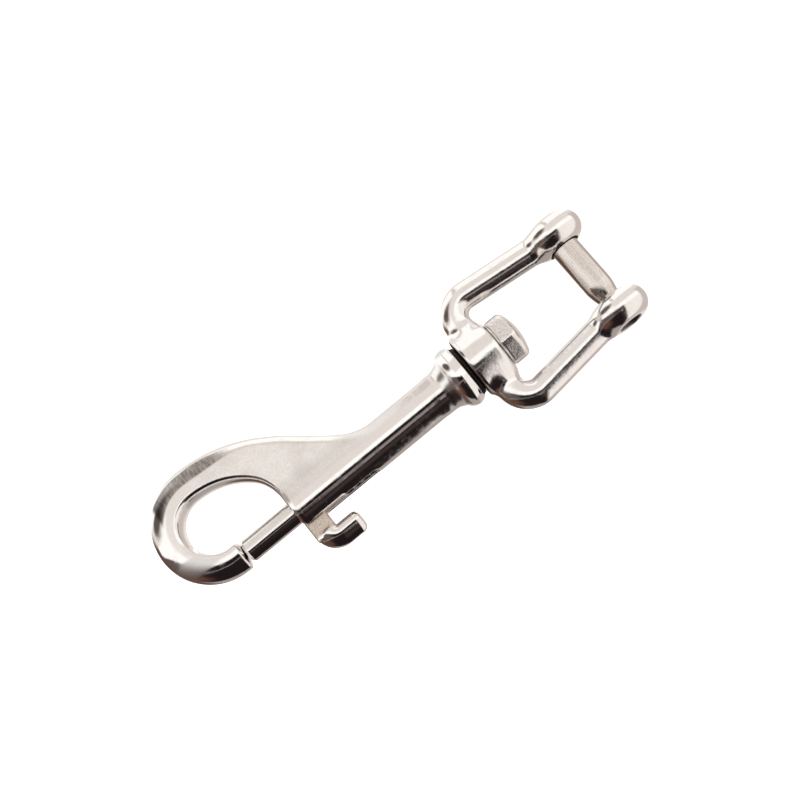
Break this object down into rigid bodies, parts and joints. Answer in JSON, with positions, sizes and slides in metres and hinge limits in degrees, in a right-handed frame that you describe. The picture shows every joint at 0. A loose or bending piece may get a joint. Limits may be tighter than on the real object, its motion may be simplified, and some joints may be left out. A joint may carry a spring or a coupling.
{
  "type": "swivel bolt snap",
  "caption": "Stainless bolt snap: sprung sliding bolt closes an open hook; the rear swivel carries a clevis fork with a removable pin.",
  "frame": {"origin": "centre of the clevis pin, midway between the fork's ears", "axes": "+X along the swivel axis from the hook towards the fork; +Y in the hook's plane towards the hook's bulge, along the clevis pin, with the thumb lever on the -Y side; +Z normal to the plane of hook and fork, up as the snap lies flat"},
  "size_m": [0.1152, 0.0398, 0.0144],
  "materials": {
    "cast_stainless": "investment-cast stainless, hand polished, satin on the flat web",
    "turned_stainless": "turned and polished stainless",
    "lever_stainless": "cast stainless, shank as cast, knob polished",
    "bolt_stainless": "forged stainless, grainy head",
    "spring_steel": "drawn spring wire"
  },
  "bodies": {
    "snap": {"snap_body": "cast_stainless", "swivel_bolt": "bolt_stainless", "bolt_spring": "spring_steel"},
    "gate": {"bolt": "turned_stainless", "thumb_lever": "lever_stainless"},
    "jaw": {"fork": "cast_stainless"},
    "pin": {"clevis_pin": "turned_stainless"}
  },
  "joints": [
    {"name": "bolt_slide", "type": "slide", "parent": "snap", "child": "gate", "axis": [1, 0, 0], "range_m": [0, 0.0135], "stiffness_N_per_m": 800, "springref_m": -0.0075, "deforming": ["bolt_spring"]},
    {"name": "fork_swivel", "type": "hinge", "parent": "snap", "child": "jaw", "pos_m": [-0.0281, 0, 0], "axis": [1, 0, 0], "continuous": true},
    {"name": "pin_withdraw", "type": "slide", "parent": "jaw", "child": "pin", "axis": [0, 1, 0], "range_m": [0, 0.036]}
  ]
}
